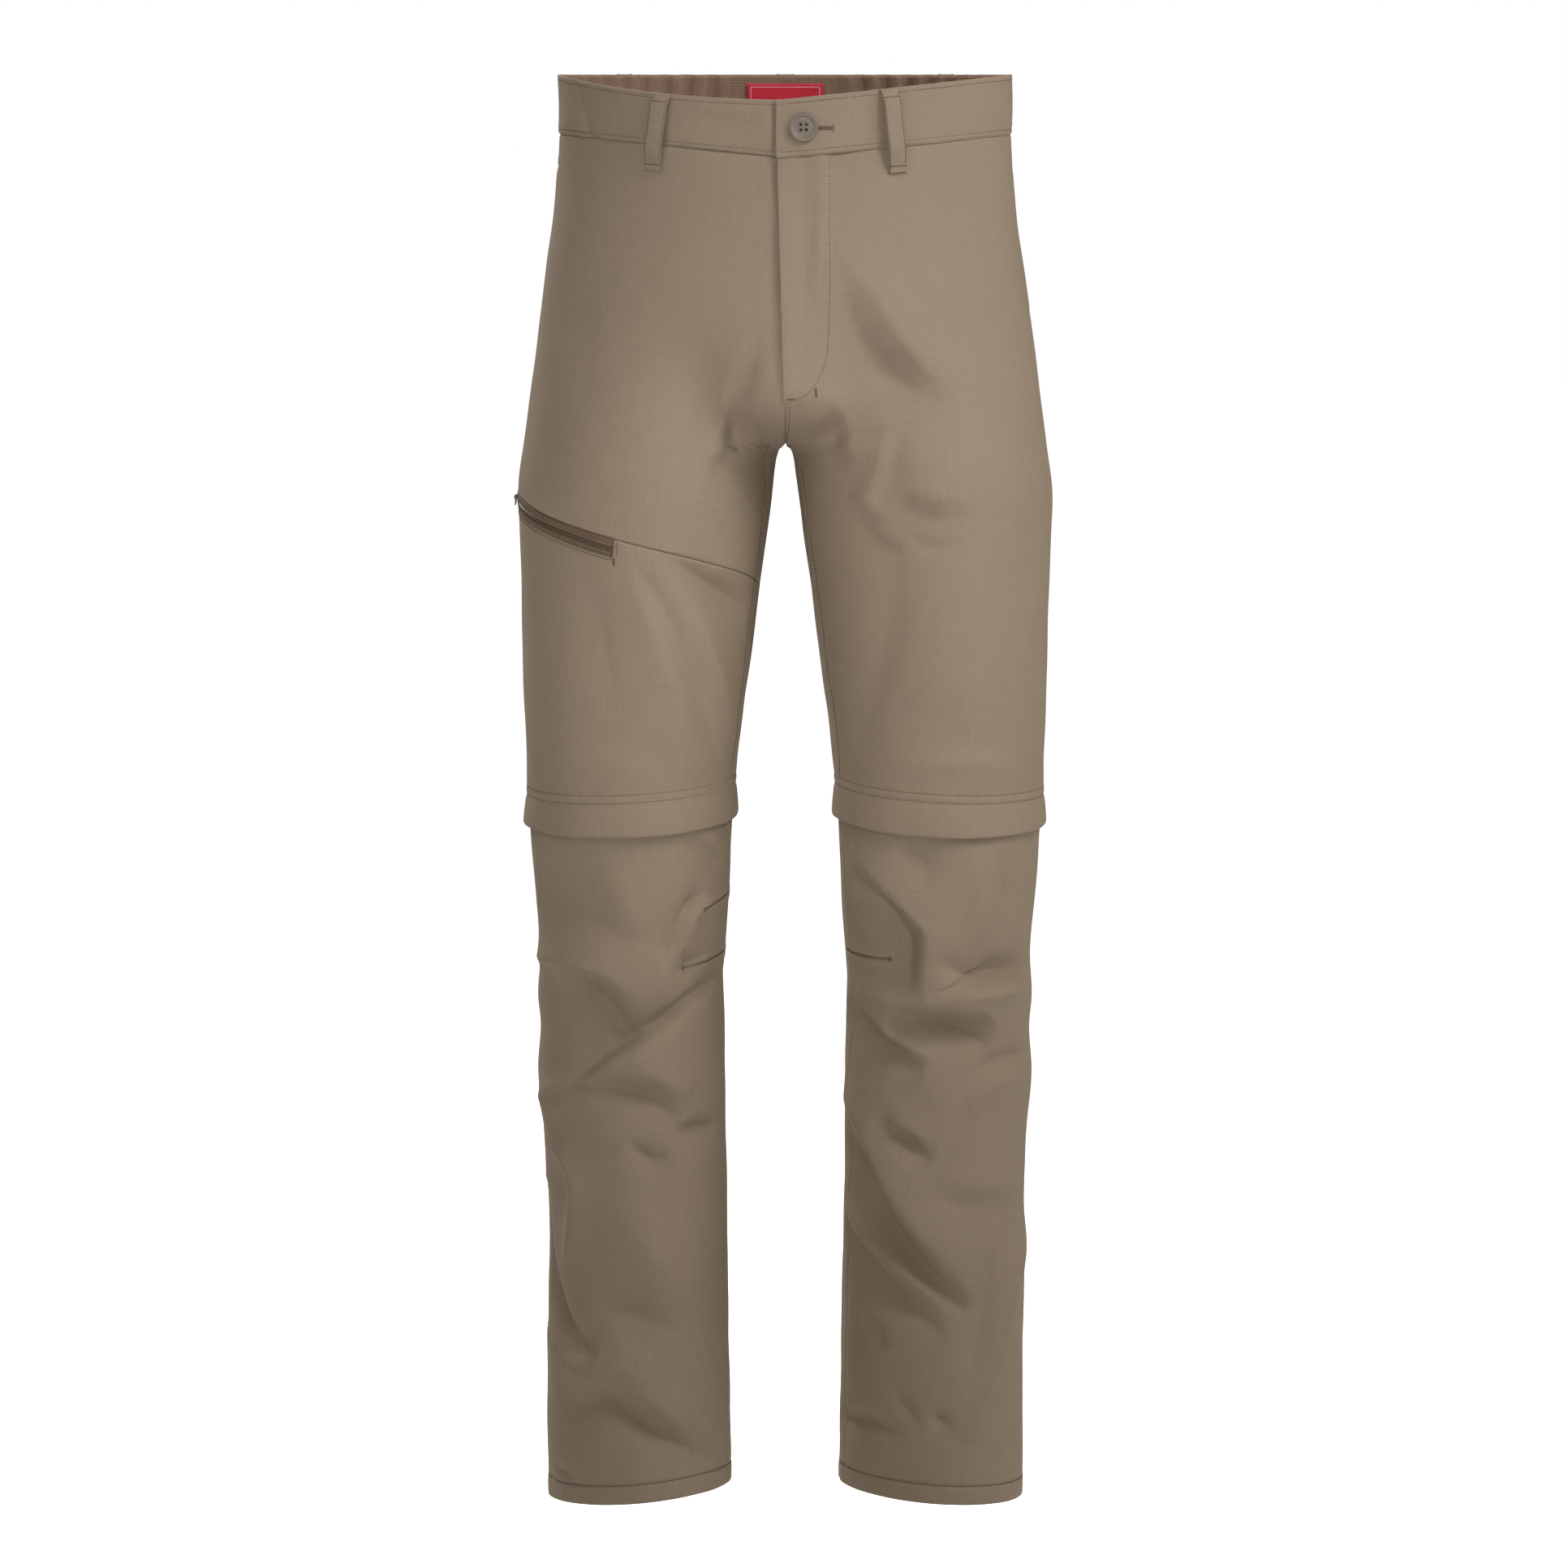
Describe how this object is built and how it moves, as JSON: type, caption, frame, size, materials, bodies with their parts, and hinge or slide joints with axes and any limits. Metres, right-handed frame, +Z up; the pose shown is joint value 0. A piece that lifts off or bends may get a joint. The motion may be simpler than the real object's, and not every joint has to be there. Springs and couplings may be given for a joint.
{
  "type": "convertible zip-off trousers",
  "caption": "Hollow, worn-shape trousers with belt loops, a buttoned fly, a zipped thigh pocket and flaps over the zips that join the lower legs.",
  "frame": {"origin": "centre of the waist, on the garment's middle plane, 20 mm below the waistband's top edge at the sides", "axes": "+X to the wearer's left, -Y to the front, +Z up; the legs hang towards -Z"},
  "size_m": [0.3965, 0.2522, 1.0552],
  "materials": {
    "cloth": "matt taupe stretch nylon with a fine cross weave",
    "facing": "brushed brown elastic facing",
    "label": "plain red woven label with a pale line",
    "zip_tape": "dark brown woven tape",
    "zip_coil": "satin brown nylon coil",
    "metal": "satin grey-brown paint",
    "button": "satin grey-brown moulded plastic"
  },
  "bodies": {
    "trousers": {"back_left": "cloth", "back_right": "cloth", "belt_loop_back_centre": "cloth", "belt_loop_back_left": "cloth", "belt_loop_back_right": "cloth", "belt_loop_front_left": "cloth", "belt_loop_front_right": "cloth", "fly_placket": "cloth", "front_left": "cloth", "front_right_lower": "cloth", "front_right_upper": "cloth", "knee_flap_left_back": "cloth", "knee_flap_left_front": "cloth", "knee_flap_right_back": "cloth", "knee_flap_right_front": "cloth", "leg_zip_left": "zip_tape", "leg_zip_right": "zip_tape", "pocket_zip_coil": "zip_coil", "pocket_zip_slider": "metal", "pocket_zip_tape": "zip_tape", "shin_left_back": "cloth", "shin_left_front": "cloth", "shin_right_back": "cloth", "shin_right_front": "cloth", "waist_button": "button", "waist_facing": "facing", "waist_label": "label", "waistband_back": "cloth", "waistband_left": "cloth", "waistband_right": "cloth"},
    "pull_tab": {"pocket_zip_tab": "metal"}
  },
  "joints": [
    {"name": "pull_tab_hinge", "type": "hinge", "parent": "trousers", "child": "pull_tab", "pos_m": [-0.19848, 0.00841, -0.28977], "axis": [-0.017, 0.2132, -0.9769], "range_deg": [0, 150]}
  ]
}
